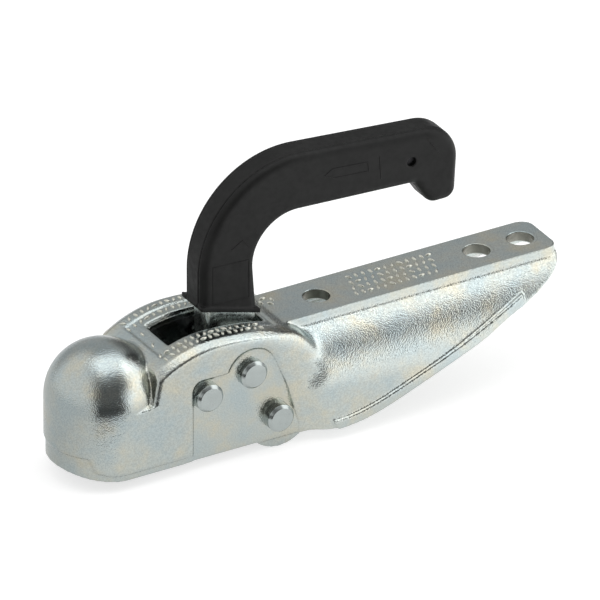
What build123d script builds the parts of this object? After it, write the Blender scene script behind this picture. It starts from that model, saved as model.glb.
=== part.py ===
from build123d import *
from math import atan2, cos, pi, radians, sin, sqrt, tan
import os

os.makedirs("parts", exist_ok=True)

# Trailer coupling head for a 50 mm ball. Origin at the ball's centre, +X back along the drawbar,
# +Z up. All lengths in millimetres, angles in degrees.

# Ball socket and nose
ball_r = 25.0
socket_gap = 0.2
head_wall = 9.3
rim_drop = 42.4
nose_rise = 5.7
mouth_flare = 3.5
mouth_flare_h = 22.0
trim_depth = 1.2
nose_trim_h = 11.0
side_trim_h = 5.0
trim_stock = 2.0
trim_front = 23.3
trim_slope = 20.0
trim_end = 11.7
trim_ease = 2.5
mouth_clear = 20.0

# Cheeks and deck
deck_peak = 33.9
deck_peak_x = 60.0
deck_front_r = 72.0
deck_rear_r = 165.0
deck_wall = 7.0
edge_bevel = 5.5
edge_drop = 3.2
deck_step = 1.0
step_half = 21.8
step_front = 28.0
step_rear = 106.0
cheek_front = 19.5
cheek_front_round = 4.0
notch_x = 15.7
notch_z = 2.5
cheek_end = 131.0
cheek_corner = 27.0
cheek_wall = 9.0
front_wall = 7.5
cavity_front = 9.0
cavity_step_low = 3.0
cavity_step_high = 12.5
cavity_rear = 113.0
pocket_depth = 2.0
pocket_front = 42.5
pocket_round = 16.5
pocket_brow = 4.7
pocket_brow_rise = 1.1
pocket_corner = 7.0
pocket_rear = 14.5
pocket_fillet = 1.2
lobe_r = 22.6
lobe_offset = 3.0
lobe_setback = 1.5
lobe_root = 1.0

# Slot in the deck
slot_front = 38.5
slot_rear = 102.5
slot_side_gap = 0.5
slot_bevel = 3.2

# Tail
flange_top = 25.2
flange_half = 19.0
flange_wall = 7.0
flange_start = 107.0
flare_start = 118.0
blend_end = 137.0
rim_level = 114.0
rim_start = 0.0
tail_end = 302.0
tail_wall = 7.5
tail_corner = 8.0
tail_flat_half = 12.5
tail_round = 18.5
channel_start = 106.0
channel_wide = 132.0
seat_half = 12.0
hood_r = 40.5
hood_z = -16.3
lip_out = 2.0
lip_h = 6.0
lip_end = 268.0
lip_fade = 32.0
lip_end_half = 35.4
bolt_d = 16.5
bolt_x = 146.3
bolt_pitch_long = 110.0
bolt_pitch_short = 30.0

# Pivots, as (x, z)
jaw_pivot_x, jaw_pivot_z = 53.0, -1.0
lever_pivot_x, lever_pivot_z = 83.0, 6.5
pawl_pivot_x, pawl_pivot_z = 100.0, -26.5

# Rivets and bearings
pin_r = 6.0
rivet_head_r = 8.8
rivet_head_h = 5.1
rivet_head_bevel = 1.7
pawl_rivet_extra = 2.0
running_fit = 0.05
bush_wall = 2.0
washer_r = 10.5
side_gap = 0.3

# Jaw
jaw_half = 20.5
jaw_hub_r = 11.0
jaw_ball_gap = 0.3
jaw_top = 9.5
jaw_bottom = -25.0
jaw_lip_z = -16.2
jaw_back_x = 66.0
jaw_back_z = -14.0
jaw_front = 22.2
jaw_facet_x = 5.0
jaw_facet_z = 6.0
jaw_heel = 9.0
jaw_lip = 8.0
contact_gap = 0.4

# Lever
lever_half = 8.0
lever_hub_r = 13.0
lever_nose_r = 4.0
lever_front = 66.0
lever_rear = 99.5
lever_front_round = 3.6
insert_depth = 7.0

# Grip
grip_half = 11.2
grip_front = 62.0
grip_inner_x = 96.3
grip_base_x = 100.5
grip_base_z = 32.0
grip_base_slope = 15.5
grip_top = 135.0
grip_top_slope = 4.9
grip_bend_r = 66.0
grip_under = 93.4
grip_under_slope = 2.9
grip_inner_r = 29.0
grip_tip_x = 239.0
grip_tip_r = 23.0
tip_lean = 3.0
hook_depth = 16.5
hook_x = 208.0
hook_slant = 11.0
hook_r = 7.5
grip_round = 5.5
insert_end = 214.0
bead_out = 0.8
bead_h = 3.0
grip_pin_d = 6.0
grip_pin_x = 205.0
grip_pin_drop = 1.4
grip_pin_sink = 2.5

# Pawl
pawl_inner = 10.2
pawl_outer = 20.0
pawl_hub_r = 11.0
pawl_nose_r = 4.5
pawl_bar_r = 3.5
pawl_bar_x = 19.0
pawl_bar_z = 2.0

# Torsion springs
spring_wire_r = 1.4
spring_turns = 4
spring_leg = 10.0
wire_sides = 6
coil_gap = 0.3

# Worked out from the sizes above
socket_r = ball_r + socket_gap
head_half = socket_r + head_wall
cavity_half = head_half - cheek_wall
pocket_floor = head_half - pocket_depth
slot_half = grip_half + bead_out + slot_side_gap
far = 400.0


def deck_z(x, drop=0.0):
    radius = deck_front_r if x < deck_peak_x else deck_rear_r
    return deck_peak - radius + sqrt((radius - drop) ** 2 - (x - deck_peak_x) ** 2)


def deck_arcs(front_x, rear_x, drop=0.0):
    crest = (deck_peak_x, deck_peak - drop)
    front = (front_x, deck_z(front_x, drop))
    rear = (rear_x, deck_z(rear_x, drop))
    front_mid = (front_x + deck_peak_x) / 2
    rear_mid = (rear_x + deck_peak_x) / 2
    return [ThreePointArc(front, (front_mid, deck_z(front_mid, drop)), crest),
            ThreePointArc(crest, (rear_mid, deck_z(rear_mid, drop)), rear)]


def hood_face(r):
    low = hood_z - rim_drop
    arch = ThreePointArc((-r, hood_z), (0, hood_z + r), (r, hood_z))
    return make_face([arch, Polyline((r, hood_z), (r, low), (-r, low), (-r, hood_z))])


def plate(face, y0, y1):
    return extrude(Plane.XZ.offset(-y1) * face, y1 - y0)


def slab(face, half):
    return plate(face, -half, half)


def across(x, z, r, y0, y1):
    return plate(Pos(x, z) * Circle(r), y0, y1)


def both_sides(face, inner, outer):
    return plate(face, inner, outer) + plate(face, -outer, -inner)


def hull_of_circles(x0, z0, r0, x1, z1, r1):
    span = sqrt((x1 - x0) ** 2 + (z1 - z0) ** 2)
    turn = atan2(z1 - z0, x1 - x0)
    lean = pi / 2 - atan2(r0 - r1, sqrt(span ** 2 - (r0 - r1) ** 2))
    ends = [(x0, z0, r0, turn + lean), (x1, z1, r1, turn + lean),
            (x1, z1, r1, turn - lean), (x0, z0, r0, turn - lean)]
    points = [(x + r * cos(a), z + r * sin(a)) for x, z, r, a in ends]
    web = make_face(Polyline(*points, close=True))
    return web + Pos(x0, z0) * Circle(r0) + Pos(x1, z1) * Circle(r1)


def rounded(corners):
    face = make_face(Polyline(*[point for point, radius in corners], close=True))
    for point, radius in corners:
        if radius > 0:
            face = fillet(face.vertices().sort_by_distance((*point, 0))[0], radius)
    return face


def hood():
    arch = extrude(Plane.YZ.offset(flange_start) * hood_face(hood_r), tail_end - flange_start)
    flare = Spline((flare_start, head_half), (blend_end, hood_r), tangents=[(1, 0), (1, 0)])
    rest = Polyline((blend_end, hood_r), (tail_end, hood_r), (tail_end, 0), (0, 0), (0, head_half),
                    (flare_start, head_half))
    plan = make_face([flare, rest])
    return arch & Pos(0, 0, -far / 2) * extrude(plan + mirror(plan, Plane.XZ), far)


def rim_points():
    span = tail_end - blend_end
    low = rim_start - rim_drop
    rise = flange_top - flange_wall - low
    shape = [(0.0, 0.0), (0.115, 0.033), (0.303, 0.200), (0.499, 0.412), (0.697, 0.632), (0.907, 0.861),
             (0.995, 1.0)]
    return [(blend_end + span * t, low + rise * h) for t, h in shape]


def cheek_block():
    rear = (cheek_end, deck_z(cheek_end))
    front = (cheek_front, deck_z(cheek_front))
    low = -rim_drop - trim_stock
    edges = [Polyline((0, low), (0, 0), (notch_x, notch_z), front)]
    edges += deck_arcs(cheek_front, cheek_end)
    edges += [Polyline(rear, (cheek_end, low), (0, low))]
    outline = make_face(edges)
    outline = fillet(outline.vertices().sort_by_distance((*rear, 0))[0], cheek_corner)
    block = slab(outline, head_half)
    for side in (1, -1):
        flank = block.faces().sort_by(Axis.Y)[-1 if side > 0 else 0]
        rim = [e for e in flank.edges() if e.center().Z > notch_z and e.center().X > cheek_front + 1.0]
        block = chamfer(rim, edge_drop, edge_bevel, reference=flank)
    upright = [e for e in block.edges().filter_by(GeomType.LINE) if abs(abs(e.center().Y) - head_half) < 0.01
               and e.center().Z > notch_z and notch_x < e.center().X < cheek_front]
    return fillet(upright, cheek_front_round)


def under_cut():
    rim = rim_points()
    nose_end = -head_half
    nose_arc = ThreePointArc((nose_end, nose_rise - rim_drop), (nose_end / 2, nose_rise / 4 - rim_drop),
                             (0, -rim_drop))
    edges = [
        nose_arc,
        Polyline((0, -rim_drop), (rim_level, -rim_drop), rim[0]),
        Spline(*rim),
        Polyline(rim[-1], (far, flange_top - flange_wall), (far, -far), (-far, -far),
                 (-far, nose_rise - rim_drop), (nose_end, nose_rise - rim_drop)),
    ]
    return slab(make_face(edges), far)


def tail_lip():
    rim = rim_points()
    raised = [(x - lip_h / 2, z + lip_h) for x, z in rim]
    band = make_face([Spline(*rim), Line(rim[-1], raised[-1]), Spline(*reversed(raised)),
                      Line(raised[0], rim[0])])
    start = blend_end - lip_h
    full = hood_r + lip_out
    skirt = extrude(Plane.YZ.offset(start) * hood_face(full), lip_end - start)
    plan = make_face(Polyline((start, -full), (lip_end - lip_fade, -full), (lip_end, -lip_end_half),
                              (lip_end, lip_end_half), (lip_end - lip_fade, full), (start, full), close=True))
    return skirt & slab(band, far) & Pos(0, 0, -far / 2) * extrude(plan, far)


def trim_band():
    r = head_half - trim_depth
    top = -rim_drop + nose_rise + nose_trim_h
    edge = -rim_drop + side_trim_h
    side = make_face(Polyline((-far, top), (-trim_front, top), (-trim_slope, edge + trim_ease),
                              (-trim_end, edge), (pocket_front, edge), (pocket_front, -far), (-far, -far),
                              close=True))
    plan = Circle(r) + Pos(far / 2, 0) * Rectangle(far, 2 * r)
    core = Pos(0, 0, -far) * extrude(plan, 2 * far)
    return slab(side, far) - core


def pocket_face():
    low = -far
    brow = lever_pivot_z + pocket_brow
    corner_z = brow - pocket_corner
    bite = pocket_corner * (1.0 - sqrt(0.5))
    top_start = (lever_pivot_x - pocket_round, brow)
    top_end = (lever_pivot_x + pocket_round - pocket_brow_rise, brow + pocket_brow_rise)
    rear = pawl_pivot_x + pocket_rear
    edges = [
        Line((pocket_front, low), (pocket_front, corner_z)),
        ThreePointArc((pocket_front, corner_z), (pocket_front + bite, brow - bite),
                      (pocket_front + pocket_corner, brow)),
        Line((pocket_front + pocket_corner, brow), top_start),
        ThreePointArc(top_start, (lever_pivot_x, lever_pivot_z + pocket_round), top_end),
        Polyline(top_end, (rear, pawl_pivot_z), (rear, low), (pocket_front, low)),
    ]
    return make_face(edges)


def pocket_tools():
    tool = plate(pocket_face(), pocket_floor, far)
    floor = [e for e in tool.edges() if abs(e.center().Y - pocket_floor) < 0.01 and e.center().Z > -far + 1.0]
    tool = fillet(floor, pocket_fillet)
    return tool + mirror(tool, Plane.XZ)


def head_cavity():
    inner_front = notch_x + front_wall
    front = (inner_front, deck_z(inner_front, deck_wall))
    back = (cavity_rear, deck_z(cavity_rear, deck_wall))
    edges = [Polyline((cavity_front, -far), (cavity_front, cavity_step_low), (inner_front, cavity_step_high),
                      front)]
    edges += deck_arcs(inner_front, cavity_rear, deck_wall)
    edges += [Polyline(back, (cavity_rear, -far), (cavity_front, -far))]
    return slab(make_face(edges), cavity_half)


def tail_channel():
    narrow = extrude(Plane.YZ.offset(channel_start) * hood_face(cavity_half), tail_end)
    wide = extrude(Plane.YZ.offset(channel_wide) * hood_face(hood_r - tail_wall), tail_end)
    seat = Pos(channel_wide, 0, flange_top - flange_wall)
    seat = seat * Box(tail_end, 2 * seat_half, flange_top - hood_z,
                      align=(Align.MIN, Align.CENTER, Align.MAX))
    return narrow + wide + seat


def slot_cut():
    opening = Rectangle(slot_rear - slot_front, 2 * slot_half)
    return Pos((slot_front + slot_rear) / 2, 0, 0) * extrude(opening, far)


def above_deck(front, rear, drop):
    high = 2 * deck_peak
    edges = deck_arcs(front, rear, drop)
    edges += [Polyline((rear, deck_z(rear, drop)), (rear, high), (front, high), (front, deck_z(front, drop)))]
    return make_face(edges)


def slot_bevels():
    outer = slot_half + slot_bevel
    ahead = slot_front - slot_bevel
    inner_edge = Plane.XZ.offset(-slot_half) * above_deck(slot_front, slot_rear, slot_bevel)
    outer_edge = Plane.XZ.offset(-outer) * above_deck(ahead, slot_rear, 0)
    side = loft([inner_edge.face(), outer_edge.face()], ruled=True)
    low = deck_z(slot_front, slot_bevel)
    ends = []
    for x, half, z in [(slot_front, slot_half, low), (ahead, outer, deck_z(ahead))]:
        end = Pos(0, z) * Rectangle(2 * half, deck_peak, align=(Align.CENTER, Align.MIN))
        ends.append((Plane.YZ.offset(x) * end).face())
    return side + mirror(side, Plane.XZ) + loft(ends, ruled=True)


def corner_trim():
    half = tail_flat_half + tail_round
    block = Pos(tail_end - tail_round, 0) * Rectangle(far, far, align=(Align.MIN, Align.CENTER))
    kept = RectangleRounded(tail_end, 2 * half, tail_round, align=(Align.MAX, Align.CENTER))
    return Pos(0, 0, -far / 2) * extrude(block - Pos(tail_end, 0) * kept, far)


def socket_cut():
    mouth = Pos(0, 0, -rim_drop) * Cylinder(socket_r, rim_drop, align=(Align.CENTER, Align.CENTER, Align.MIN))
    flare = Pos(0, 0, -rim_drop) * Cone(socket_r + mouth_flare, socket_r, mouth_flare_h,
                                        align=(Align.CENTER, Align.CENTER, Align.MIN))
    below = Pos(0, 0, -rim_drop) * Cylinder(socket_r + mouth_flare, mouth_clear,
                                            align=(Align.CENTER, Align.CENTER, Align.MAX))
    return Sphere(socket_r) + mouth + flare + below


def make_housing():
    nose = Cylinder(head_half, rim_drop + trim_stock, align=(Align.CENTER, Align.CENTER, Align.MAX))
    nose += Sphere(head_half)
    strip = RectangleRounded(tail_end - flange_start, 2 * flange_half, tail_corner,
                             align=(Align.MAX, Align.CENTER))
    flange = Pos(tail_end, 0, hood_z) * extrude(strip, flange_top - hood_z)
    body = nose + cheek_block() + hood() + flange
    body -= under_cut()
    body -= trim_band()
    body += tail_lip()
    body -= corner_trim()
    lobe = Pos(pawl_pivot_x + lobe_offset, pawl_pivot_z) * Circle(lobe_r)
    body -= pocket_tools()
    body += both_sides(lobe, cavity_half - lobe_root, pocket_floor - lobe_setback)
    body -= tail_channel()
    body -= head_cavity()
    body -= socket_cut()
    body -= slab(above_deck(step_front, step_rear, deck_step), step_half)
    body -= slot_cut()
    body -= slot_bevels()
    for x, z in [(jaw_pivot_x, jaw_pivot_z), (lever_pivot_x, lever_pivot_z), (pawl_pivot_x, pawl_pivot_z)]:
        body -= across(x, z, pin_r + running_fit, -far, far)
    for x in [bolt_x, bolt_x + bolt_pitch_long, bolt_x + bolt_pitch_long + bolt_pitch_short]:
        body -= Pos(x, 0, flange_top) * Cylinder(bolt_d / 2, 4 * flange_wall)
    return body


def make_rivet(x, z, extra=0.0):
    height = rivet_head_h + extra
    head = across(x, z, rivet_head_r, pocket_floor, pocket_floor + height)
    outer = [e for e in head.edges() if e.center().Y > pocket_floor + height - 0.01]
    head = chamfer(outer, rivet_head_bevel)
    return across(x, z, pin_r, -pocket_floor, pocket_floor) + head + mirror(head, Plane.XZ)


def make_bush(x, z, half):
    tube = across(x, z, pin_r + running_fit + bush_wall, -half, half)
    return tube - across(x, z, pin_r + running_fit, -half, half)


def make_washer(x, z, inner, outer):
    return across(x, z, washer_r, inner, outer) - across(x, z, pin_r + running_fit, inner, outer)


def bush_bore(x, z, half):
    return across(x, z, pin_r + running_fit + bush_wall, -half, half)


def make_jaw():
    cup_r = ball_r + jaw_ball_gap
    lip = (sqrt(cup_r ** 2 - jaw_lip_z ** 2), jaw_lip_z)
    web = make_face(Polyline((jaw_front, jaw_top), (jaw_pivot_x, jaw_pivot_z + jaw_hub_r),
                             (jaw_pivot_x + jaw_hub_r, jaw_pivot_z), (jaw_back_x, jaw_back_z),
                             (jaw_back_x - jaw_facet_x, jaw_back_z - jaw_facet_z),
                             (jaw_pivot_x - jaw_heel, jaw_bottom),
                             (lip[0] + jaw_lip, jaw_bottom), lip, close=True))
    face = web + Pos(jaw_pivot_x, jaw_pivot_z) * Circle(jaw_hub_r)
    jaw = slab(face, jaw_half) - Sphere(cup_r)
    return jaw - bush_bore(jaw_pivot_x, jaw_pivot_z, jaw_half)


def base_line(x):
    return grip_base_z + (grip_base_x - x) * tan(radians(grip_base_slope))


def top_line(x):
    return grip_top - (x - grip_front) * tan(radians(grip_top_slope))


def under_line(x):
    return grip_under - (x - grip_inner_x) * tan(radians(grip_under_slope))


def bar_face(inset, end):
    front = grip_front + inset
    rear = grip_inner_x - inset
    rear_low = grip_base_x - inset
    corners = [((front, base_line(front)), 0), ((front, top_line(front) - inset), grip_bend_r - inset)]
    corners += end
    corners += [((rear, under_line(rear) + inset), grip_inner_r + inset),
                ((rear_low, base_line(rear_low)), 0)]
    return rounded(corners)


def grip_outline():
    toe = under_line(hook_x) - hook_depth
    return bar_face(0.0, [
        ((grip_tip_x, top_line(grip_tip_x)), grip_tip_r),
        ((grip_tip_x - tip_lean, toe), hook_r),
        ((hook_x + hook_slant, toe), hook_r),
        ((hook_x, under_line(hook_x)), hook_r / 2),
    ])


def insert_outline():
    return bar_face(insert_depth, [
        ((insert_end, top_line(insert_end) - insert_depth), 0),
        ((insert_end, under_line(insert_end) + insert_depth), 0),
    ])


def pin_height():
    return (top_line(grip_pin_x) + under_line(grip_pin_x)) / 2 - grip_pin_drop


def make_lever():
    nose_x = jaw_back_x + contact_gap + lever_nose_r
    nose_z = jaw_back_z + contact_gap
    hub = Pos(lever_pivot_x, lever_pivot_z) * Circle(lever_hub_r)
    nose = hull_of_circles(lever_pivot_x, lever_pivot_z, lever_hub_r, nose_x, nose_z, lever_nose_r)
    hub_top = lever_pivot_z + lever_hub_r
    neck = make_face(Polyline((lever_front, base_line(lever_front)), (lever_front, hub_top),
                              (lever_pivot_x - lever_hub_r, lever_pivot_z),
                              (lever_pivot_x + lever_hub_r, lever_pivot_z),
                              (lever_rear, hub_top), (lever_rear, base_line(lever_rear)), close=True))
    lever = slab(hub + nose + neck + insert_outline(), lever_half)
    front = [e for e in lever.edges().filter_by(Axis.Z)
             if abs(e.center().X - lever_front) < 0.01]
    lever = fillet(front, lever_front_round)
    lever -= bush_bore(lever_pivot_x, lever_pivot_z, lever_half)
    return lever - across(grip_pin_x, pin_height(), grip_pin_d / 2, -far, far)


def make_grip():
    grip = slab(grip_outline(), grip_half)
    rims = [e for e in grip.edges() if abs(abs(e.center().Y) - grip_half) < 0.01
            and abs(e.center().Z - base_line(e.center().X)) > 0.5]
    grip = fillet(rims, grip_round)
    x0 = grip_front - bead_out
    x1 = grip_base_x + bead_out
    foot = make_face(Polyline((x0, base_line(x0)), (x1, base_line(x1)), (x1, base_line(x1) + bead_h),
                              (x0, base_line(x0) + bead_h), close=True))
    grip += slab(foot, grip_half + bead_out)
    grip -= slab(insert_outline(), lever_half)
    return grip - across(grip_pin_x, pin_height(), grip_pin_d / 2, -far, far)


def make_pawl():
    slant = atan2(-jaw_facet_z, -jaw_facet_x)
    reach = pawl_nose_r + contact_gap
    mid_x = jaw_back_x - jaw_facet_x / 2
    mid_z = jaw_back_z - jaw_facet_z / 2
    nose_x = mid_x - reach * sin(slant)
    nose_z = mid_z + reach * cos(slant)
    face = hull_of_circles(pawl_pivot_x, pawl_pivot_z, pawl_hub_r, nose_x, nose_z, pawl_nose_r)
    hub = across(pawl_pivot_x, pawl_pivot_z, pin_r + running_fit + 2 * bush_wall, -pawl_inner, pawl_inner)
    bar = across(pawl_pivot_x - pawl_bar_x, pawl_pivot_z - pawl_bar_z, pawl_bar_r, -pawl_inner, pawl_inner)
    pawl = both_sides(face, pawl_inner, pawl_outer) + hub + bar
    return pawl - bush_bore(pawl_pivot_x, pawl_pivot_z, pawl_outer)


def make_spring(x, z, coil_r, start_y, turn_dir, leg_turn):
    pitch = 2 * spring_wire_r + coil_gap
    height = pitch * spring_turns
    coil = Helix(pitch, height, coil_r)
    section = RegularPolygon(spring_wire_r, wire_sides)
    wire = sweep(Plane(coil @ 0, z_dir=coil % 0) * section, path=coil, is_frenet=True)
    legs = []
    for place, sense in [(0, -1), (1, 1)]:
        leg_dir = (coil % place) * sense
        legs.append(extrude(Plane(coil @ place, z_dir=leg_dir) * section, spring_leg))
    spring = wire + legs[0] + legs[1]
    spring = Rot(turn_dir * 90, 0, 0) * Rot(0, 0, leg_turn) * spring
    return Pos(x, start_y, z) * spring


def make_all():
    spring_r = pin_r + side_gap + spring_wire_r
    spring_start = lever_half + side_gap + spring_wire_r + spring_leg * coil_gap / 4
    pawl_coil_r = pin_r + running_fit + 2 * bush_wall + spring_wire_r + side_gap
    pawl_coil_y = (2 * spring_wire_r + coil_gap) * spring_turns / 2
    jaw = (jaw_pivot_x, jaw_pivot_z)
    top = (lever_pivot_x, lever_pivot_z)
    rear = (pawl_pivot_x, pawl_pivot_z)
    return {
        "housing": make_housing(),
        "ball_jaw": make_jaw(),
        "jaw_bush": make_bush(*jaw, jaw_half),
        "jaw_rivet": make_rivet(*jaw),
        "jaw_washer_left": make_washer(*jaw, -cavity_half, -jaw_half - side_gap),
        "jaw_washer_right": make_washer(*jaw, jaw_half + side_gap, cavity_half),
        "lever": make_lever(),
        "lever_bush": make_bush(*top, lever_half),
        "lever_rivet": make_rivet(*top),
        "lever_spring_left": make_spring(*top, spring_r, -spring_start, 1, 120),
        "lever_spring_right": make_spring(*top, spring_r, spring_start, -1, 60),
        "grip": make_grip(),
        "grip_pin": across(grip_pin_x, pin_height(), grip_pin_d / 2, grip_pin_sink - grip_half,
                           grip_half - grip_pin_sink),
        "pawl": make_pawl(),
        "pawl_bush": make_bush(*rear, pawl_outer),
        "pawl_rivet": make_rivet(*rear, pawl_rivet_extra),
        "pawl_washer_left": make_washer(*rear, -cavity_half, -pawl_outer - side_gap),
        "pawl_washer_right": make_washer(*rear, pawl_outer + side_gap, cavity_half),
        "pawl_spring": make_spring(*rear, pawl_coil_r, -pawl_coil_y, -1, 30),
    }


for name, shape in make_all().items():
    export_step(shape, f"parts/{name}.step")
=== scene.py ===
import bpy
import math
from mathutils import Matrix, Vector


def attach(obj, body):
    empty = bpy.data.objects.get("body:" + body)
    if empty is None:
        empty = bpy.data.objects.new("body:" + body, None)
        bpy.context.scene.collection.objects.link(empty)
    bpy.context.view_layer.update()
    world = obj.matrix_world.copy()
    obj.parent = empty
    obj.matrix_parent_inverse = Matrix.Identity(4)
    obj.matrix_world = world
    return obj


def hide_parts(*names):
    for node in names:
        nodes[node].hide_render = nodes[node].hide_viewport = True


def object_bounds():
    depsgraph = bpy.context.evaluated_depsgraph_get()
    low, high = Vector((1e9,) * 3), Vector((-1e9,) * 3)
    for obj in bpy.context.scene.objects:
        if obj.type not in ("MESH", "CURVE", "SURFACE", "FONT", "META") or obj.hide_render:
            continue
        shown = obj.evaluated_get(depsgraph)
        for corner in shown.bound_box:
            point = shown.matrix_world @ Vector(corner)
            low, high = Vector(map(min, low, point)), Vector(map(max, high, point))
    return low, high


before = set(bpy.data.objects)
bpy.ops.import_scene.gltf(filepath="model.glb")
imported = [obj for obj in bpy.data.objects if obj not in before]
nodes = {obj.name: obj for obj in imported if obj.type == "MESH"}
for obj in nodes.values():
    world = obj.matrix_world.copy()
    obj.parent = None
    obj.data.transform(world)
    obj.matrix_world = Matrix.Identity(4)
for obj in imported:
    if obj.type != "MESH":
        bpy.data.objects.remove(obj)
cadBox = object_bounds()
print("stage: frame loaded,", len(nodes), "nodes")


# small helpers, used by every piece
def pickOnly(obj):
    bpy.ops.object.select_all(action="DESELECT")
    obj.select_set(True)
    bpy.context.view_layer.objects.active = obj


def useModifier(obj, kind, **settings):
    pickOnly(obj)
    mod = obj.modifiers.new(kind.lower(), kind)
    for key, value in settings.items():
        setattr(mod, key, value)
    bpy.ops.object.modifier_apply(modifier=mod.name)


def mergedCopy(node, name):
    piece = bpy.data.objects.new(name, nodes[node].data.copy())
    bpy.context.scene.collection.objects.link(piece)
    piece.data.materials.clear()
    pickOnly(piece)
    bpy.ops.object.mode_set(mode="EDIT")
    bpy.ops.mesh.select_all(action="SELECT")
    bpy.ops.mesh.remove_doubles(threshold=1e-6)
    bpy.ops.mesh.customdata_custom_splitnormals_clear()
    bpy.ops.object.mode_set(mode="OBJECT")
    return piece


def smoothByAngle(obj, degrees):
    pickOnly(obj)
    bpy.ops.object.shade_smooth_by_angle(angle=math.radians(degrees))


def finishPiece(obj, material, body, replaced=()):
    obj.data.materials.clear()
    obj.data.materials.append(material)
    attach(obj, body)
    if replaced:
        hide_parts(*replaced)


def ramp(value, low, high):
    t = min(max((value - low) / (high - low), 0.0), 1.0)
    return t * t * (3.0 - 2.0 * t)


# weights are worked out in mm, with both sides alike
leastWeight = 0.01


def weightGroup(obj, name, weightOf):
    group = obj.vertex_groups.new(name=name)
    for vertex in obj.data.vertices:
        x, y, z = vertex.co * 1000.0
        weight = weightOf(x, abs(y), z, vertex.normal)
        if weight > leastWeight:
            group.add([vertex.index], weight, "REPLACE")
    return group


def softenWhere(obj, weightOf, factor, passes):
    group = weightGroup(obj, "soften", weightOf)
    useModifier(obj, "SMOOTH", factor=factor, iterations=passes, vertex_group=group.name)
    obj.vertex_groups.clear()


def triangles(obj):
    return sum(len(p.vertices) - 2 for p in obj.data.polygons)


# node helpers for the finishes
def newFinish(name):
    material = bpy.data.materials.new(name)
    material.use_nodes = True
    tree = material.node_tree
    return material, tree, tree.nodes["Principled BSDF"]


def noiseAt(tree, scale, detail=2.0, rough=0.5):
    place = tree.nodes.new("ShaderNodeTexCoord")
    noise = tree.nodes.new("ShaderNodeTexNoise")
    noise.inputs["Scale"].default_value = scale
    noise.inputs["Detail"].default_value = detail
    noise.inputs["Roughness"].default_value = rough
    tree.links.new(place.outputs["Object"], noise.inputs["Vector"])
    return noise.outputs["Fac"]


def rampOf(tree, value, stops):
    node = tree.nodes.new("ShaderNodeValToRGB")
    elements = node.color_ramp.elements
    while len(elements) < len(stops):
        elements.new(0.5)
    for element, (place, colour) in zip(elements, stops):
        element.position = place
        element.color = (*colour, 1.0)
    tree.links.new(value, node.inputs["Fac"])
    return node.outputs["Color"]


def rangeOf(tree, value, low, high, toLow, toHigh):
    node = tree.nodes.new("ShaderNodeMapRange")
    node.interpolation_type = "SMOOTHSTEP"
    node.inputs["From Min"].default_value = low
    node.inputs["From Max"].default_value = high
    node.inputs["To Min"].default_value = toLow
    node.inputs["To Max"].default_value = toHigh
    tree.links.new(value, node.inputs["Value"])
    return node.outputs["Result"]


def mathOf(tree, operation, a, b):
    node = tree.nodes.new("ShaderNodeMath")
    node.operation = operation
    for socket, value in zip(node.inputs, (a, b)):
        if isinstance(value, (int, float)):
            socket.default_value = value
        else:
            tree.links.new(value, socket)
    return node.outputs["Value"]


def multiplied(tree, colour, level):
    node = tree.nodes.new("ShaderNodeMix")
    node.data_type = "RGBA"
    node.blend_type = "MULTIPLY"
    node.inputs["Factor"].default_value = 1.0
    tree.links.new(colour, node.inputs["A"])
    tree.links.new(level, node.inputs["B"])
    return node.outputs["Result"]


def bumpOf(tree, height, strength, depth, under=None):
    bump = tree.nodes.new("ShaderNodeBump")
    bump.inputs["Distance"].default_value = depth
    if isinstance(strength, (int, float)):
        bump.inputs["Strength"].default_value = strength
    else:
        tree.links.new(strength, bump.inputs["Strength"])
    tree.links.new(height, bump.inputs["Height"])
    if under:
        tree.links.new(under, bump.inputs["Normal"])
    return bump.outputs["Normal"]


# finishes
noiseSpan = (0.3, 0.7)  # where most of a noise's values lie
zincLook = {
    "cool": (0.430, 0.492, 0.495), "plain": (0.478, 0.512, 0.484), "warm": (0.535, 0.525, 0.440),
    "tintAt": (0.36, 0.52, 0.66), "blotch": 42.0, "speck": (0.90, 1.06),
    "patch": 420.0, "rough": (0.12, 0.18),
    "grain": 1500.0, "grainStrength": (0.31, 0.40), "grainDepth": 0.0004,
    "wave": 420.0, "waveStrength": 0.10, "waveDepth": 0.0006,
    # the tail's lift below is painted light: a brighter base colour where the tail reflects a brighter floor
    "tailStart": (0.100, 0.135), "tailPaintedLight": 1.12,
}


def zincForging():
    material, tree, shader = newFinish("zincForging")
    look = zincLook
    tints = (look["cool"], look["plain"], look["warm"])
    tint = rampOf(tree, noiseAt(tree, look["blotch"], detail=4.0, rough=0.6), list(zip(look["tintAt"], tints)))
    speck = rangeOf(tree, noiseAt(tree, look["grain"] * 0.8, detail=1.0), *noiseSpan, *look["speck"])
    tint = multiplied(tree, tint, speck)
    rough = rangeOf(tree, noiseAt(tree, look["patch"], detail=3.0), *noiseSpan, *look["rough"])
    tree.links.new(rough, shader.inputs["Roughness"])
    shader.inputs["Metallic"].default_value = 1.0
    # painted light: the tail's base colour is raised a little above the head's, where the tail shows a brighter
    # floor in its reflections; its grain is also a little rougher than the head's
    place = tree.nodes.new("ShaderNodeTexCoord")
    axes = tree.nodes.new("ShaderNodeSeparateXYZ")
    tree.links.new(place.outputs["Object"], axes.inputs["Vector"])
    lift = rangeOf(tree, axes.outputs["X"], *look["tailStart"], 1.0, look["tailPaintedLight"])
    tree.links.new(multiplied(tree, tint, lift), shader.inputs["Base Color"])
    strength = rangeOf(tree, axes.outputs["X"], *look["tailStart"], *look["grainStrength"])
    wave = bumpOf(tree, noiseAt(tree, look["wave"]), look["waveStrength"], look["waveDepth"])
    grain = bumpOf(tree, noiseAt(tree, look["grain"], detail=0.0), strength, look["grainDepth"], wave)
    tree.links.new(grain, shader.inputs["Normal"])
    return material


steelLook = {
    "tintAt": (0.35, 0.65), "cloud": 90.0, "patch": 350.0, "roughSpread": (0.8, 1.25), "grainDepth": 0.0003,
}


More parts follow.
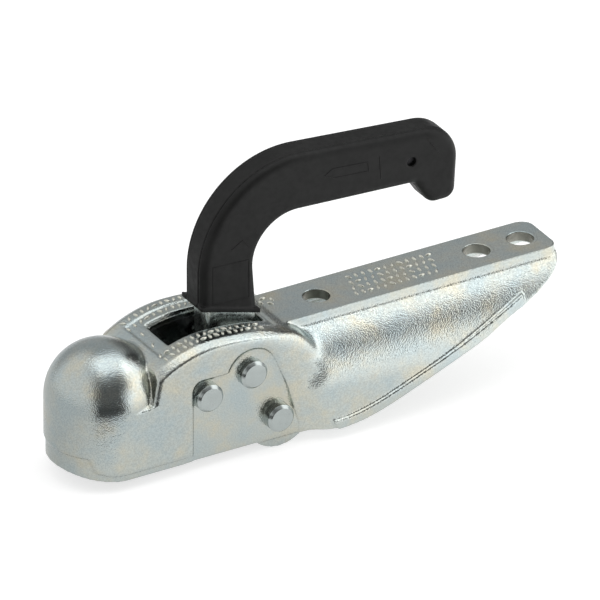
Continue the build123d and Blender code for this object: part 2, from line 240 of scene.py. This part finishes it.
def turnedSteel(name, colour, rough, grain=900.0, strength=0.12, darken=0.85):
    material, tree, shader = newFinish(name)
    look = steelLook
    tints = (tuple(c * darken for c in colour), colour)
    tint = rampOf(tree, noiseAt(tree, look["cloud"], detail=4.0, rough=0.6), list(zip(look["tintAt"], tints)))
    tree.links.new(tint, shader.inputs["Base Color"])
    smooth, dull = look["roughSpread"]
    patch = rangeOf(tree, noiseAt(tree, look["patch"], detail=3.0), *noiseSpan, rough * smooth, rough * dull)
    tree.links.new(patch, shader.inputs["Roughness"])
    shader.inputs["Metallic"].default_value = 1.0
    bump = bumpOf(tree, noiseAt(tree, grain), strength, look["grainDepth"])
    tree.links.new(bump, shader.inputs["Normal"])
    return material


gripLook = {
    "black": (0.0055, 0.0057, 0.0055), "grey": (0.0090, 0.0093, 0.0090), "tintAt": (0.35, 0.65), "cloud": 70.0,
    "patch": 300.0, "rough": (0.42, 0.54), "gloss": 0.24,
    "grain": 2600.0, "grainStrength": 0.12, "grainDepth": 0.00015,
}


def gripPlastic():
    material, tree, shader = newFinish("gripPlastic")
    look = gripLook
    tints = (look["black"], look["grey"])
    tint = rampOf(tree, noiseAt(tree, look["cloud"], detail=3.0), list(zip(look["tintAt"], tints)))
    tree.links.new(tint, shader.inputs["Base Color"])
    rough = rangeOf(tree, noiseAt(tree, look["patch"], detail=3.0), *noiseSpan, *look["rough"])
    tree.links.new(rough, shader.inputs["Roughness"])
    shader.inputs["Specular IOR Level"].default_value = look["gloss"]
    grain = bumpOf(tree, noiseAt(tree, look["grain"]), look["grainStrength"], look["grainDepth"])
    tree.links.new(grain, shader.inputs["Normal"])
    return material


zincBody = zincForging()
# the raised marks' pale colour is partly wear and partly a painted highlight, for the light the marks catch
markWearAndHighlight = turnedSteel("markWearAndHighlight", (0.74, 0.74, 0.66), rough=0.32, strength=0.25)
zincRivet = turnedSteel("zincRivet", (0.440, 0.482, 0.472), rough=0.22, grain=700.0, strength=0.06, darken=0.92)
leverFinish = turnedSteel("leverPlate", (0.560, 0.590, 0.570), rough=0.24, grain=800.0, strength=0.08)
jawFinish = turnedSteel("forgedJaw", (0.36, 0.365, 0.37), rough=0.42, grain=600.0, strength=0.25)
washerFinish = turnedSteel("washerZinc", (0.55, 0.57, 0.58), rough=0.30)
springFinish = turnedSteel("springWire", (0.30, 0.30, 0.31), rough=0.30, grain=1200.0, strength=0.08)
bushFinish = turnedSteel("bushBronze", (0.52, 0.36, 0.17), rough=0.32, grain=1000.0, strength=0.08)
pinFinish = turnedSteel("pinOxide", (0.035, 0.035, 0.037), rough=0.45, strength=0.15)
wallFinish = turnedSteel("drilledWall", (0.30, 0.30, 0.265), rough=0.42, grain=800.0, strength=0.2)
gripFinish = gripPlastic()
print("stage: finishes made")


# housing: the forging's own solid, softened as blasted forgings are. The zones where that acts are in mm: a pair
# fades in, and a second pair fades out again
housingForm = {
    "voxel": 0.0007, "soften": 0.5, "passes": 6, "lean": 0.005, "keep": 0.34,
    "deck": {"top": 33.9, "topX": 60, "frontRadius": 72.0, "rearRadius": 165.0},
    "neck": {"passes": 60, "along": (104, 116, 140, 152), "side": (18.0, 22.0), "up": (-30, -12),
             "under": 26.0, "underFade": 2},
    "corner": {"passes": 150, "along": (96, 110, 142, 152), "side": (22.5, 26.5), "up": (-14, 0),
               "flangeTop": 25.2, "bendX": 118, "bendZ": 9, "bend": 16, "reach": (9, 13)},
    "strip": {"passes": 24, "along": (118, 134), "side": (17.0, 19.0, 21.5, 26), "up": (10, 16),
              "under": 25.1, "underFade": 1.0},
    "rim": {"passes": 26, "along": (21, 25, 118, 132), "side": (31.5, 33.5), "below": (0.8, 2.2, 6, 9)},
    "pocket": {"passes": 10, "along": (36, 40, 122, 128), "side": (31.0, 32.0), "top": (24, 27)},
    "leaning": {"along": (104, 122, 140, 162), "side": (28.0, 31.0), "up": (-36, -22), "top": (-15, -1)},
}


def deckHeight(x):
    deck = housingForm["deck"]
    radius = deck["frontRadius"] if x < deck["topX"] else deck["rearRadius"]
    return deck["top"] - radius + math.sqrt(max(radius * radius - (x - deck["topX"]) ** 2, 0.0))


def fade(value, limits):
    share = ramp(value, *limits[:2])
    return share * (1 - ramp(value, *limits[2:])) if len(limits) == 4 else share


def neckShare(x, y, z, normal):
    zone = housingForm["neck"]
    share = fade(x, zone["along"]) * fade(y, zone["side"]) * fade(z, zone["up"])
    return share * ramp(zone["under"] - z, 0, zone["underFade"])


def cornerShare(x, y, z, normal):
    zone = housingForm["corner"]
    if x < zone["bendX"]:
        inside = max(deckHeight(x), zone["flangeTop"]) - z
    else:
        inside = zone["bend"] - math.hypot(x - zone["bendX"], max(z - zone["bendZ"], 0))
    share = fade(x, zone["along"]) * fade(y, zone["side"]) * fade(z, zone["up"])
    return share * (1 - ramp(inside, *zone["reach"]))


def stripShare(x, y, z, normal):
    zone = housingForm["strip"]
    share = fade(x, zone["along"]) * fade(y, zone["side"]) * fade(z, zone["up"])
    return share * ramp(zone["under"] - z, 0, zone["underFade"])


def rimShare(x, y, z, normal):
    zone = housingForm["rim"]
    return fade(x, zone["along"]) * fade(y, zone["side"]) * fade(deckHeight(x) - z, zone["below"])


def pocketShare(x, y, z, normal):
    zone = housingForm["pocket"]
    return fade(x, zone["along"]) * fade(y, zone["side"]) * (1 - ramp(z, *zone["top"]))


def leanShare(x, y, z, normal):
    zone = housingForm["leaning"]
    share = fade(x, zone["along"]) * fade(y, zone["side"]) * fade(z, zone["up"])
    return share * (1 - ramp(z, *zone["top"]))


def makeHousing():
    form = housingForm
    body = mergedCopy("housing", "housingForging")
    useModifier(body, "REMESH", mode="VOXEL", voxel_size=form["voxel"])
    for zone, share in (("neck", neckShare), ("corner", cornerShare), ("strip", stripShare),
                        ("rim", rimShare), ("pocket", pocketShare)):
        softenWhere(body, share, form["soften"], form[zone]["passes"])
    lean = weightGroup(body, "lean", leanShare)
    useModifier(body, "DISPLACE", strength=-form["lean"], mid_level=0.0, direction="X",
                vertex_group=lean.name)
    body.vertex_groups.clear()
    useModifier(body, "SMOOTH", factor=form["soften"], iterations=form["passes"])
    useModifier(body, "DECIMATE", ratio=form["keep"])
    smoothByAngle(body, 60)
    finishPiece(body, zincBody, "housing", ["housing"])
    print("stage: housing,", triangles(body), "triangles")
    return body


housing = makeHousing()


# raised marks on the deck and flange: plain oblong pips in rows, in mm
markForm = {
    "deck": {"rows": (-25.0, -18.6, 18.6, 25.0), "start": 29.0, "end": 101.0, "pitch": 4.3,
             "stagger": 0.0, "turn": 3},
    "flange": {"rows": (-9.5, -3.0, 3.5, 10.0), "start": 168.0, "end": 232.0, "pitch": 5.0,
               "stagger": 0.4, "turn": 2},
    "extra": ((32.0, 7.7), (31.0, -6.5), (113.5, 9.0), (118.0, 5.5), (117.0, 13.0), (121.0, 9.5)),
    "size": (4.6, 1.9, 2.6), "sink": 0.25, "turns": (90, 60, 100, 125, 0, 90, 70),
    "castFrom": 60.0, "steepest": 0.6,
}


def pipAt(target, shape, x, y, turn):
    form = markForm
    start = Vector((x, y, form["castFrom"])) * 0.001
    found, spot, normal = target.ray_cast(start, Vector((0, 0, -1)))[:3]
    if not found or normal.z < form["steepest"]:
        return None
    pip = bpy.data.objects.new("pip", shape)
    bpy.context.scene.collection.objects.link(pip)
    along = Vector((math.cos(math.radians(turn)), math.sin(math.radians(turn)), 0.0))
    side = normal.cross(along).normalized()
    basis = Matrix((side.cross(normal), side, normal)).transposed().to_4x4()
    scale = Matrix.Diagonal((*(length * 0.0005 for length in form["size"]), 1.0))
    pip.matrix_world = Matrix.Translation(spot - normal * form["sink"] * 0.001) @ basis @ scale
    return pip


def joined(pieces, name):
    bpy.ops.object.select_all(action="DESELECT")
    for piece in pieces:
        piece.select_set(True)
    bpy.context.view_layer.objects.active = pieces[0]
    bpy.ops.object.make_single_user(object=True, obdata=True)
    bpy.ops.object.join()
    whole = bpy.context.object
    whole.name = name
    bpy.ops.object.transform_apply(location=True, rotation=True, scale=True)
    bpy.ops.object.shade_smooth()
    return whole


def makeMarks(target):
    form = markForm
    turns = form["turns"]
    spots = []
    for field in (form["deck"], form["flange"]):
        count = int((field["end"] - field["start"]) / field["pitch"])
        for row, y in enumerate(field["rows"]):
            for k in range(count):
                x = field["start"] + (k + field["stagger"] * row) * field["pitch"]
                spots.append((x, y, turns[(k * field["turn"] + row) % len(turns)]))
    spots += [(x, y, turns[k % len(turns)]) for k, (x, y) in enumerate(form["extra"])]
    bpy.ops.mesh.primitive_ico_sphere_add(subdivisions=2, radius=1.0)
    seed = bpy.context.object
    pips = [pipAt(target, seed.data, *spot) for spot in spots]
    bpy.data.objects.remove(seed)
    marks = joined([pip for pip in pips if pip], "raisedMarks")
    # the marks get their pale finish: partly wear, partly painted highlight
    finishPiece(marks, markWearAndHighlight, "housing")
    print("stage: marks,", triangles(marks), "triangles")


makeMarks(housing)


# bolt holes: turned rings give the three holes their crisp edges, and a thin lining their darker walls
rimForm = {
    "places": (0.1463, 0.2563, 0.2863), "top": 0.02522, "radius": 0.00825, "wall": 0.0024, "depth": 0.0066,
    "edge": 0.0004, "sides": 72, "lining": 0.0001, "liningGap": 0.00003, "liningShort": 0.001,
}


def holeTube(x, radius, depth):
    form = rimForm
    bpy.ops.mesh.primitive_cylinder_add(vertices=form["sides"], radius=radius, depth=depth,
                                        end_fill_type="NOTHING",
                                        location=(x, 0, form["top"] - form["depth"] / 2))
    return bpy.context.object


def makeHoleRims():
    form = rimForm
    rings = []
    for x in form["places"]:
        ring = holeTube(x, form["radius"], form["depth"])
        useModifier(ring, "SOLIDIFY", thickness=form["wall"], offset=1.0)
        useModifier(ring, "BEVEL", width=form["edge"], segments=3, limit_method="ANGLE")
        rings.append(ring)
    rims = joined(rings, "holeRims")
    smoothByAngle(rims, 35)
    finishPiece(rims, zincBody, "housing")
    print("stage: hole rims,", triangles(rims), "triangles")


def makeHoleWalls():
    form = rimForm
    walls = []
    for x in form["places"]:
        wall = holeTube(x, form["radius"] - form["liningGap"], form["depth"] - form["liningShort"])
        useModifier(wall, "SOLIDIFY", thickness=form["lining"], offset=-1.0)
        walls.append(wall)
    lining = joined(walls, "holeWalls")
    smoothByAngle(lining, 35)
    finishPiece(lining, wallFinish, "housing")
    print("stage: hole walls,", triangles(lining), "triangles")


makeHoleRims()
makeHoleWalls()


# grip: moulded over the lever's arm
gripForm = {
    "voxel": 0.0005, "soften": 0.5, "passes": 4, "keep": 0.42,
    "creaseAt": 6.4, "creaseCore": 0.1, "creaseHalf": 0.55, "creaseDepth": 0.0005, "creaseFoot": 40,
    "tipX": 226, "outward": 0.3,
}


def creaseShare(x, y, z, normal):
    form = gripForm
    limit = form["outward"]
    outward = normal.z > limit or normal.x < -limit or (x > form["tipX"] and normal.x > limit)
    if not outward or z < form["creaseFoot"]:
        return 0.0
    return 1 - ramp(abs(y - form["creaseAt"]), form["creaseCore"], form["creaseHalf"])


def makeGrip():
    form = gripForm
    grip = mergedCopy("grip", "gripMoulding")
    useModifier(grip, "REMESH", mode="VOXEL", voxel_size=form["voxel"])
    useModifier(grip, "SMOOTH", factor=form["soften"], iterations=form["passes"])
    crease = weightGroup(grip, "crease", creaseShare)
    useModifier(grip, "DISPLACE", strength=-form["creaseDepth"], mid_level=0.0, direction="NORMAL",
                vertex_group=crease.name)
    grip.vertex_groups.clear()
    useModifier(grip, "DECIMATE", ratio=form["keep"])
    smoothByAngle(grip, 60)
    finishPiece(grip, gripFinish, "handle", ["grip"])
    print("stage: grip,", triangles(grip), "triangles")


makeGrip()


# thin raised lines on the grip's sides: a bare panel, a chevron, a bare arrow and two part lines, each a run of
# (x, z) points in mm
ribForm = {
    "runs": (((69.5, 45.0), (69.5, 70.0), (94.0, 69.0), (94.0, 44.0), (69.5, 45.0)),
             ((82.0, 78.5), (89.5, 83.0), (95.0, 77.0)),
             ((145.5, 110.7), (151.0, 114.0), (175.0, 112.0), (175.7, 105.8), (152.3, 107.6),
              (145.5, 110.7)),
             ((183.0, 113.3), (184.0, 98.5)),
             ((215.5, 116.6), (223.7, 105.3))),
    "face": 11.2, "width": 0.6, "rise": 0.22, "overlap": 0.6, "edge": 0.12,
}


def makeRibs():
    form = ribForm
    bpy.ops.mesh.primitive_cube_add(size=1.0)
    seed = bpy.context.object
    useModifier(seed, "BEVEL", width=form["edge"], segments=2)
    lines = [line for run in form["runs"] for line in zip(run, run[1:])]
    bars = []
    for side in (-1, 1):
        for (x0, z0), (x1, z1) in lines:
            bar = bpy.data.objects.new("rib", seed.data)
            bpy.context.scene.collection.objects.link(bar)
            length = math.hypot(x1 - x0, z1 - z0) + form["width"] * form["overlap"]
            centre = Vector(((x0 + x1) / 2, side * form["face"], (z0 + z1) / 2)) * 0.001
            turn = Matrix.Rotation(-math.atan2(z1 - z0, x1 - x0), 4, "Y")
            scale = Matrix.Diagonal((length * 0.001, form["rise"] * 0.002, form["width"] * 0.001, 1.0))
            bar.matrix_world = Matrix.Translation(centre) @ turn @ scale
            bars.append(bar)
    bpy.data.objects.remove(seed)
    ribs = joined(bars, "gripRibs")
    smoothByAngle(ribs, 40)
    finishPiece(ribs, gripFinish, "handle")
    print("stage: grip ribs,", triangles(ribs), "triangles")


makeRibs()


# lever and rivets: CAD solids with their edges broken, as (width, least angle)
edgeForm = {"lever": (0.0006, 40), "rivet": (0.0004, 30)}


def softEdges(node, name, material, body, edge):
    width, angle = edgeForm[edge]
    piece = mergedCopy(node, name)
    useModifier(piece, "BEVEL", width=width, segments=3, limit_method="ANGLE",
                angle_limit=math.radians(angle))
    smoothByAngle(piece, 35)
    finishPiece(piece, material, body, [node])


softEdges("lever", "leverBar", leverFinish, "handle", "lever")
for rivet in ("jaw", "lever", "pawl"):
    softEdges(rivet + "_rivet", rivet + "RivetTurned", zincRivet, "housing", "rivet")
print("stage: lever and rivets")

# inner pieces keep their CAD solids and get their finishes
innerFinishes = {
    "ball_jaw": jawFinish, "pawl": jawFinish, "grip_pin": pinFinish,
    "jaw_bush": bushFinish, "lever_bush": bushFinish, "pawl_bush": bushFinish,
    "jaw_washer_left": washerFinish, "jaw_washer_right": washerFinish,
    "pawl_washer_left": washerFinish, "pawl_washer_right": washerFinish,
    "lever_spring_left": springFinish, "lever_spring_right": springFinish, "pawl_spring": springFinish,
}
for nodeName, material in innerFinishes.items():
    mesh = nodes[nodeName].data
    mesh.materials.clear()
    mesh.materials.append(material)
print("stage: inner pieces")


# floor, light and camera
cameraForm = {"target": (0.1139, -0.0362, 0.0483), "azimuth": -30.4, "elevation": 28.7,
              "distance": 15.5, "fieldWidth": 0.3527, "sensor": 36.0, "reach": 100.0}


def viewAxes():
    a = math.radians(cameraForm["azimuth"])
    e = math.radians(cameraForm["elevation"])
    back = Vector((math.sin(a) * math.cos(e), -math.cos(a) * math.cos(e), math.sin(e)))
    right = Vector((math.cos(a), math.sin(a), 0.0))
    return right, back


def makeCamera():
    back = viewAxes()[1]
    lens = bpy.data.cameras.new("photoCamera")
    lens.sensor_width = cameraForm["sensor"]
    lens.lens = lens.sensor_width * cameraForm["distance"] / cameraForm["fieldWidth"]
    lens.clip_end = cameraForm["reach"]
    camera = bpy.data.objects.new("photoCamera", lens)
    bpy.context.scene.collection.objects.link(camera)
    camera.location = Vector(cameraForm["target"]) + back * cameraForm["distance"]
    camera.rotation_euler = (-back).to_track_quat("-Z", "Y").to_euler()
    bpy.context.scene.camera = camera


floorForm = {"size": 8.0, "colour": (0.55, 0.55, 0.55), "rough": 0.9, "lift": 0.68,
             "mirrorLift": (0.28, 0.54, 0.86), "mirrorAt": (-0.09, 0.06, 0.20, 0.28)}


def makeFloor():
    bpy.ops.mesh.primitive_plane_add(size=floorForm["size"], location=(0, 0, cadBox[0][2]))
    floor = bpy.context.object
    floor.name = "studioFloor"
    material, tree, shader = newFinish("paleFloor")
    shader.inputs["Base Color"].default_value = (*floorForm["colour"], 1.0)
    shader.inputs["Roughness"].default_value = floorForm["rough"]
    shader.inputs["Specular IOR Level"].default_value = 0.0
    shader.inputs["Emission Color"].default_value = (1.0, 1.0, 1.0, 1.0)
    path = tree.nodes.new("ShaderNodeLightPath")
    place = tree.nodes.new("ShaderNodeTexCoord")
    right = tree.nodes.new("ShaderNodeVectorMath")
    right.operation = "DOT_PRODUCT"
    right.inputs[1].default_value = viewAxes()[0]
    tree.links.new(place.outputs["Object"], right.inputs[0])
    low, middle, high = floorForm["mirrorLift"]
    a, b, c, d = floorForm["mirrorAt"]
    shown = mathOf(tree, "ADD", rangeOf(tree, right.outputs["Value"], a, b, low, middle),
                   rangeOf(tree, right.outputs["Value"], c, d, 0.0, high - middle))
    direct = mathOf(tree, "MAXIMUM", path.outputs["Is Camera Ray"], path.outputs["Is Transmission Ray"])
    total = mathOf(tree, "ADD", mathOf(tree, "MULTIPLY", direct, floorForm["lift"]),
                   mathOf(tree, "MULTIPLY", path.outputs["Is Glossy Ray"], shown))
    tree.links.new(total, shader.inputs["Emission Strength"])
    # the floor is clear from beneath, so that the underside can be looked at
    face = tree.nodes.new("ShaderNodeNewGeometry")
    clear = tree.nodes.new("ShaderNodeBsdfTransparent")
    mix = tree.nodes.new("ShaderNodeMixShader")
    tree.links.new(face.outputs["Backfacing"], mix.inputs[0])
    tree.links.new(shader.outputs["BSDF"], mix.inputs[1])
    tree.links.new(clear.outputs["BSDF"], mix.inputs[2])
    tree.links.new(mix.outputs["Shader"], tree.nodes["Material Output"].inputs["Surface"])
    floor.data.materials.append(material)


softBox = {"at": (0.40, -0.10, 1.05), "size": (1.4, 0.80), "power": 3.7}
sky = {
    "back": 0.50, "left": 0.92, "glow": 1.76, "panel": 1.90, "crown": 0.65, "dark": 0.15,
    "leftSide": (-0.45, -0.15), "leftAhead": (-0.75, -0.45),
    "glowSide": (0.45, 0.75), "glowTop": (0.24, 0.52), "glowAhead": (-0.35, -0.05),
    "panelAt": (0.770, -0.333, 0.545), "panelEdge": (0.89, 0.97),
    "sideAt": (0.850, 0.508, 0.139), "sideEdge": (0.87, 0.96),
    "shadeLeft": (-0.32, -0.10), "shadeRight": (0.66, 0.86), "shadeAhead": (0.10, 0.35),
    "shadeFoot": (-0.02, 0.02), "shadeTop": (0.64, 0.92), "crownFoot": (0.90, 0.98),
}


def makeLight():
    lamp = bpy.data.lights.new("softBox", "AREA")
    lamp.shape = "RECTANGLE"
    lamp.size, lamp.size_y = softBox["size"]
    lamp.energy = softBox["power"]
    box = bpy.data.objects.new("softBox", lamp)
    box.location = softBox["at"]
    bpy.context.scene.collection.objects.link(box)
    world = bpy.data.worlds.new("studioWorld")
    world.use_nodes = True
    bpy.context.scene.world = world
    tree = world.node_tree
    ground = tree.nodes["Background"]
    place = tree.nodes.new("ShaderNodeTexCoord")
    axes = tree.nodes.new("ShaderNodeSeparateXYZ")
    tree.links.new(place.outputs["Generated"], axes.inputs["Vector"])
    right, back = viewAxes()
    front = Vector((back.x, back.y, 0.0)).normalized()

    def along(direction):
        dot = tree.nodes.new("ShaderNodeVectorMath")
        dot.operation = "DOT_PRODUCT"
        dot.inputs[1].default_value = direction
        tree.links.new(place.outputs["Generated"], dot.inputs[0])
        return dot.outputs["Value"]

    def toward(level, share, goal):
        gap = mathOf(tree, "SUBTRACT", goal, level)
        return mathOf(tree, "ADD", level, mathOf(tree, "MULTIPLY", share, gap))

    def rising(value, edge):
        return rangeOf(tree, value, *sky[edge], 0.0, 1.0)

    def falling(value, edge):
        return rangeOf(tree, value, *sky[edge], 1.0, 0.0)

    def allOf(first, *others):
        for other in others:
            first = mathOf(tree, "MULTIPLY", first, other)
        return first

    height = axes.outputs["Z"]
    side = along(right)
    ahead = along(front)
    leftward = allOf(falling(side, "leftSide"), rising(ahead, "leftAhead"))
    glow = allOf(rising(side, "glowSide"), falling(height, "glowTop"), rising(ahead, "glowAhead"))
    shade = allOf(rising(side, "shadeLeft"), falling(side, "shadeRight"), rising(ahead, "shadeAhead"),
                  rising(height, "shadeFoot"), falling(height, "shadeTop"))
    studio = toward(sky["back"], leftward, sky["left"])
    studio = toward(studio, glow, sky["glow"])
    studio = toward(studio, rising(along(sky["panelAt"]), "panelEdge"), sky["panel"])
    studio = toward(studio, rising(along(sky["sideAt"]), "sideEdge"), sky["dark"])
    studio = toward(studio, shade, sky["dark"])
    studio = toward(studio, rising(height, "crownFoot"), sky["crown"])
    tree.links.new(studio, ground.inputs["Strength"])
    ground.inputs["Color"].default_value = (1.0, 1.0, 1.0, 1.0)


# a low dark flag in front of the head, seen only in its reflections
flagForm = {"at": (-0.0209, -0.1443, -0.017), "size": (0.160, 0.064), "colour": (0.16, 0.16, 0.16)}


def makeFlag():
    bpy.ops.mesh.primitive_plane_add(size=1.0, location=flagForm["at"],
                                     rotation=(math.pi / 2, 0, math.radians(cameraForm["azimuth"])))
    flag = bpy.context.object
    flag.name = "darkFlag"
    flag.scale = (*flagForm["size"], 1.0)
    bpy.ops.object.transform_apply(location=True, rotation=True, scale=True)
    material, tree, shader = newFinish("flagCloth")
    shader.inputs["Base Color"].default_value = (*flagForm["colour"], 1.0)
    shader.inputs["Roughness"].default_value = 1.0
    shader.inputs["Specular IOR Level"].default_value = 0.0
    flag.data.materials.append(material)
    flag.visible_camera = False
    flag.visible_diffuse = False
    flag.visible_shadow = False
    flag.visible_transmission = False


makeFloor()
makeFlag()
makeLight()
makeCamera()
bpy.context.scene.view_settings.view_transform = "Standard"
print("stage: floor, light and camera")
